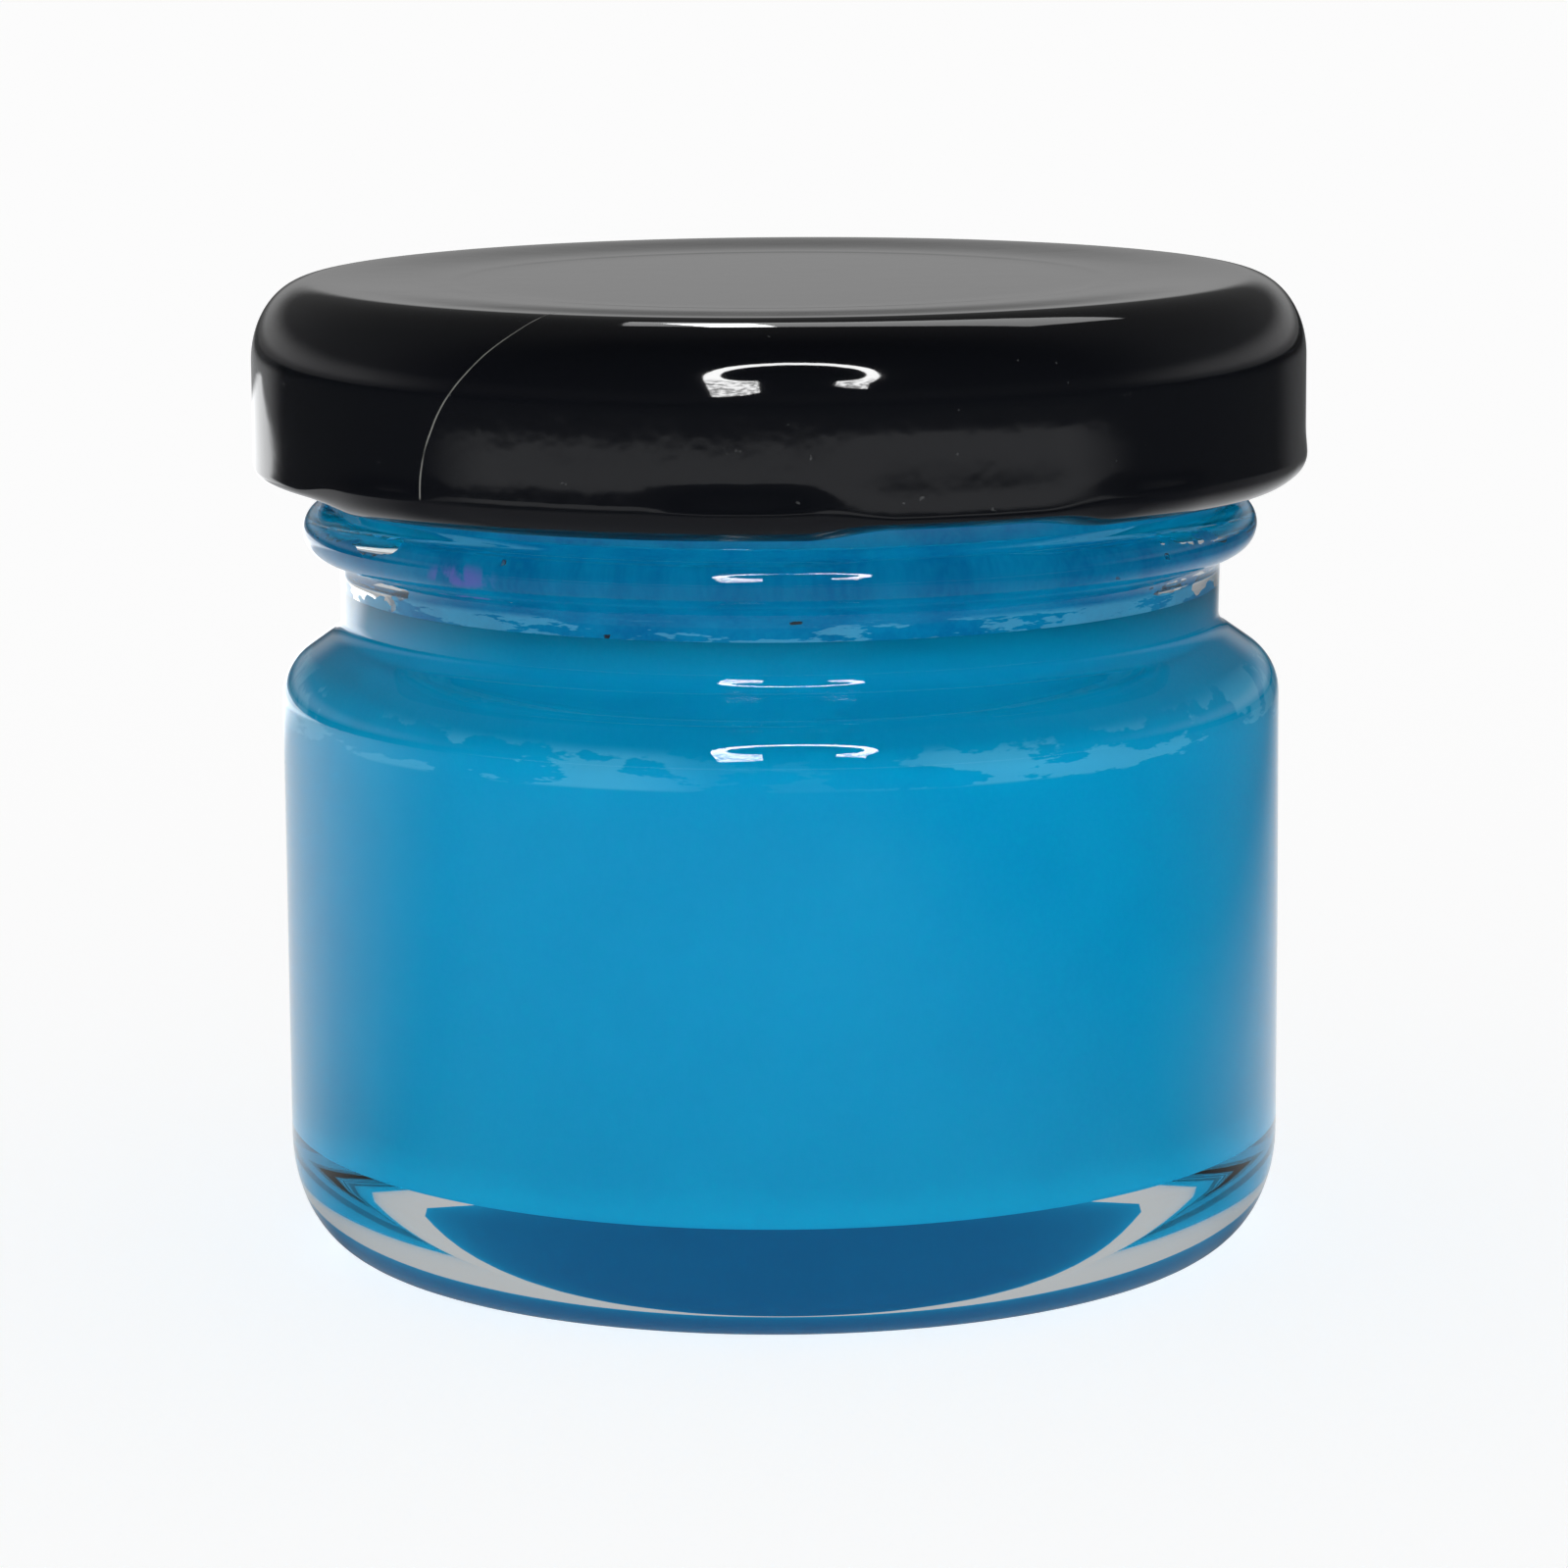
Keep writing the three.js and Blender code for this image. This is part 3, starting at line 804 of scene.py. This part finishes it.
FLOOR_BOUNCE, SHADED_BOUNCE = 3.05, 1.525  # what the jar gets back from it, and from close by
SHADED_RANGE = (20 * MM, 80 * MM)
UNDER_GLOW = 0.56  # under the jar, for the light that its thick base lets in
UNDER_START, UNDER_EDGE, UNDER_END = 16.5 * MM, 17.5 * MM, 18.5 * MM
FLOOR_TINT, UNDER_TINT = (0.98, 0.99, 1, 1), (0.6, 0.86, 1.25, 1)
THROUGH_GLASS, FLOOR_THROUGH_GLASS = 0.5, 0.35  # the least that glass shows of the room

TENT_LIGHT, TENT_TOP, TENT_RANGE = 2.0, 0.3, (0.05, 0.6)  # low in the tent, and overhead
ROOM_RISE = (0.0, 0.07, 0.14, 0.39)  # between the first two heights, from the third value
ROOM_FALL = (0.1, 0.25, 1.0, 0.25)  # to the fourth, and so is this
ROOM_BEHIND = (-0.35, 0.3, 0.1, 1.0)  # the same, from in front of the jar to behind it
BACKDROP = 0.95  # past the floor's edge, as pale as the floor
BOUNCED_RANGE = (0.4, 0.6)  # past this diffuse depth a ray brings bounced light

RING_LIGHT = 24
RING_AWAY, RING_ELEVATION, RING_RIGHT = 0.6, 30, 0.03
RING_RADIUS, RING_HALF_ANGLE = 0.17, 112  # the angle from its top round to each foot
LEFT_ARM, RIGHT_ARM = 1.26, 1.12  # where each arm ends, if its foot is at 1
ARM_HANG = 0.5  # how far it would hang by 2
FOOT_INWARD, FOOT_INWARD_POWER = 0.2, 6
TUBE_RADIUS, LEFT_SWELL, RIGHT_SWELL, SWELL_POWER = 0.014, 0.044, 0.026, 8
MOTTLED_RANGE, MOTTLED_MOST = (0.3, 0.24), 0.8  # dim patches low in the arms
RING_ROWS, RING_SIDES = 64, 12

LAMP_TARGET = (0, 0, 20 * MM)
CAMERA_TARGET = (0.1 * MM, 0, 20.04 * MM)
CAMERA_AWAY, CAMERA_ELEVATION, CAMERA_ROLL = 258 * MM, 9.9, -0.4
CAMERA_LENS, CAMERA_SENSOR = 133.4, 36  # in millimetres


def floor_glow(n, path):
    """How bright the floor is for every ray but the camera's own. In gloss it is bright behind
    the jar and dim in front of it, as in a room with a window behind."""
    x, y, _ = n.axes()
    distance = n.math("MAXIMUM", n.vector("LENGTH", n.place), 1e-4)
    back = n.math("DIVIDE", y, distance)
    behind = n.math("POWER", n.ramp(back, *NEAR_BEHIND_RANGE), NEAR_BEHIND_POWER)
    front = n.product(n.ramp(back, *NEAR_FRONT_RANGE), n.ramp(distance, *NEAR_FRONT_END))
    near = n.total(n.product(behind, NEAR_BEHIND), NEAR_LEAST, n.product(front, NEAR_FRONT))
    near = n.product(near, n.ramp(x, *NEAR_RIGHT_RANGE, 1, NEAR_RIGHT_SHARE))
    strip = n.product(n.band(distance, *STRIP, *STRIP_FADES), n.ramp(back, *STRIP_RANGE))
    right = n.ramp(x, *FAR_RIGHT_RANGE, 1, FAR_RIGHT_SHARE)
    behind = n.product(n.ramp(back, *FAR_BEHIND_RANGE), right)
    far = n.total(n.product(strip, FAR_STRIP), FAR_LEAST, n.product(behind, FAR_BEHIND))
    is_far = n.ramp(distance, *FAR_RANGE)
    glow = n.total(n.product(near, n.math("SUBTRACT", 1.0, is_far)), n.product(far, is_far))
    glow = n.product(glow, n.ramp(distance, *OUTER_RANGE, 1, OUTER_SHARE))
    sheet = n.product(n.band(x, *SHEET_X, *SHEET_X_FADES), n.band(y, *SHEET_Y, *SHEET_Y_FADES))
    glow = n.total(n.product(sheet, SHEET_GLOW), glow)
    glow = n.math("MAXIMUM", glow, n.product(path["Is Transmission Ray"], FLOOR_THROUGH_GLASS))
    bounced = n.ramp(path["Diffuse Depth"], *BOUNCED_RANGE)
    bounce = n.ramp(distance, *SHADED_RANGE, SHADED_BOUNCE, FLOOR_BOUNCE)
    glow = n.total(n.product(glow, n.math("SUBTRACT", 1.0, bounced)), n.product(bounced, bounce))
    under = n.ramp(distance, UNDER_START, UNDER_END, UNDER_GLOW, 0)
    tint = n.mix(n.ramp(distance, UNDER_START, UNDER_END, 1, 0), FLOOR_TINT, UNDER_TINT)
    strength = n.total(n.product(glow, n.ramp(distance, UNDER_EDGE, UNDER_END)), under)
    return n.add("ShaderNodeEmission", Color=tint, Strength=strength)


def make_floor():
    """A plain pale floor for the camera. Other rays see its glow instead."""
    n = MaterialNodes("pale_floor")
    path = n.light_path()
    n.set(Base_Color=FLOOR_COLOUR, Roughness=FLOOR_ROUGHNESS, Specular_IOR_Level=0.0)
    n.set(Emission_Color=WHITE, Emission_Strength=FLOOR_LIT)
    n.show(path["Is Camera Ray"], floor_glow(n, path), n.surface)
    n.material.cycles.emission_sampling = "NONE"
    mesh = bpy.data.meshes.new("floor")
    size = FLOOR_SIZE
    corners = [(-size, -size, 0), (size, -size, 0), (size, size, 0), (-size, size, 0)]
    mesh.from_pydata(corners, [], [(0, 1, 2, 3)])
    mesh.materials.append(n.material)
    floor = bpy.data.objects.new("floor", mesh)
    bpy.context.scene.collection.objects.link(floor)


def aim(thing, place, target, roll=0.0):
    """Puts a camera or a lamp at a place, turned to a target."""
    thing.location = place
    turn = (Vector(target) - Vector(place)).to_track_quat("-Z", "Y").to_matrix().to_3x3()
    thing.rotation_euler = (turn @ Euler((0, 0, math.radians(roll))).to_matrix()).to_euler()


def add_area(name, place, size, power):
    """A lamp that only gloss shows, since the tent gives the soft light."""
    lamp = bpy.data.lights.new(name, "AREA")
    lamp.shape = "RECTANGLE"
    lamp.size, lamp.size_y = size
    lamp.energy = power
    light = bpy.data.objects.new(name, lamp)
    bpy.context.scene.collection.objects.link(light)
    aim(light, place, LAMP_TARGET)
    light.visible_camera = False
    light.visible_diffuse = False


def ring_material():
    n = MaterialNodes("ring_light")
    _, _, z = n.axes()
    patches = n.ramp(n.noise(55, 3.0, 0.6), 0.4, 0.6, MOTTLED_MOST, 0.0)
    dim = n.product(n.ramp(z, *MOTTLED_RANGE), patches)
    n.set(Base_Color=BLACK, Emission_Color=WHITE)
    n.set(Emission_Strength=n.math("MULTIPLY_ADD", dim, -RING_LIGHT, RING_LIGHT))
    return n.material


def make_ring_light():
    """A ring light in front of the jar and above the camera. It is open at its foot, where both
    of its arms swell and hang down. Only gloss and glass show it."""
    rise = math.radians(RING_ELEVATION)
    middle = Vector((RING_RIGHT, -RING_AWAY * math.cos(rise), RING_AWAY * math.sin(rise)))
    facing = middle.normalized()
    across = Vector((1, 0, 0))
    upward = facing.cross(across)
    places, faces = [], []
    for row in range(RING_ROWS + 1):
        share = -LEFT_ARM + (LEFT_ARM + RIGHT_ARM) * row / RING_ROWS
        bent = min(max(share, -1), 1)
        turn = math.radians(90 - RING_HALF_ANGLE * bent)
        outward = across * math.cos(turn) + upward * math.sin(turn)
        hang = upward * -ARM_HANG * (abs(share) - abs(bent))
        radius = RING_RADIUS * (1 - FOOT_INWARD * abs(bent) ** FOOT_INWARD_POWER)
        centre = middle + outward * radius + hang
        swell = LEFT_SWELL if share < 0 else RIGHT_SWELL
        tube = TUBE_RADIUS + swell * abs(bent) ** SWELL_POWER
        for side in range(RING_SIDES):
            angle = 2 * math.pi * side / RING_SIDES
            places.append(centre + tube * (outward * math.cos(angle) + facing * math.sin(angle)))
            if row < RING_ROWS:
                one = row * RING_SIDES + side
                two = row * RING_SIDES + (side + 1) % RING_SIDES
                faces.append((one, two, two + RING_SIDES, one + RING_SIDES))
    mesh = bpy.data.meshes.new("ring_light")
    mesh.from_pydata([tuple(place) for place in places], [], faces)
    mesh.materials.append(ring_material())
    ring = bpy.data.objects.new("ring_light", mesh)
    bpy.context.scene.collection.objects.link(ring)
    ring.visible_camera = False
    ring.visible_diffuse = False


def make_world():
    """A white tent for soft light. Gloss and glass see a dim room in it instead, with a pale
    band low behind the jar and dark in front, and the camera sees a plain backdrop."""
    world = bpy.data.worlds.new("room")
    bpy.context.scene.world = world
    n = Nodes(world, "Generated")
    _, y, z = n.axes()
    path = n.light_path()
    room = n.product(n.ramp(z, *ROOM_RISE), n.ramp(z, *ROOM_FALL), n.ramp(y, *ROOM_BEHIND))
    room = n.math("MAXIMUM", room, n.product(path["Is Transmission Ray"], THROUGH_GLASS))
    gloss = n.math("MAXIMUM", path["Is Glossy Ray"], path["Is Transmission Ray"])
    not_bounced = n.ramp(path["Diffuse Depth"], *BOUNCED_RANGE, 1.0, 0.0)
    soft = n.ramp(z, *TENT_RANGE, TENT_LIGHT, TENT_TOP)
    tent = n.product(n.math("SUBTRACT", 1.0, gloss), soft)
    lit = n.total(n.product(room, not_bounced, gloss), tent)
    lit = n.product(lit, n.math("SUBTRACT", 1.0, path["Is Camera Ray"]))
    background = n.tree.nodes["Background"]
    n.put(background.inputs["Strength"], n.total(lit, n.product(path["Is Camera Ray"], BACKDROP)))
    n.put(background.inputs["Color"], WHITE)


def make_camera():
    """Looks a little down on the jar from the front, close enough for strong perspective."""
    data = bpy.data.cameras.new("camera")
    data.sensor_width = CAMERA_SENSOR
    data.lens = CAMERA_LENS
    camera = bpy.data.objects.new("camera", data)
    bpy.context.scene.collection.objects.link(camera)
    rise = math.radians(CAMERA_ELEVATION)
    away = Vector((0, -math.cos(rise), math.sin(rise)))
    aim(camera, Vector(CAMERA_TARGET) + away * CAMERA_AWAY, CAMERA_TARGET, CAMERA_ROLL)
    bpy.context.scene.camera = camera


make_camera()
make_jar()
make_fill()
make_film()
make_lid()
make_gasket()
make_floor()
make_ring_light()
make_world()
add_area("top_light", place=(0.11, 0.35, 0.62), size=(0.47, 0.2), power=0.7)
add_area("top_light_core", place=(-0.04, 0.35, 0.62), size=(0.06, 0.16), power=0.5)

bpy.context.scene.view_settings.view_transform = "Standard"
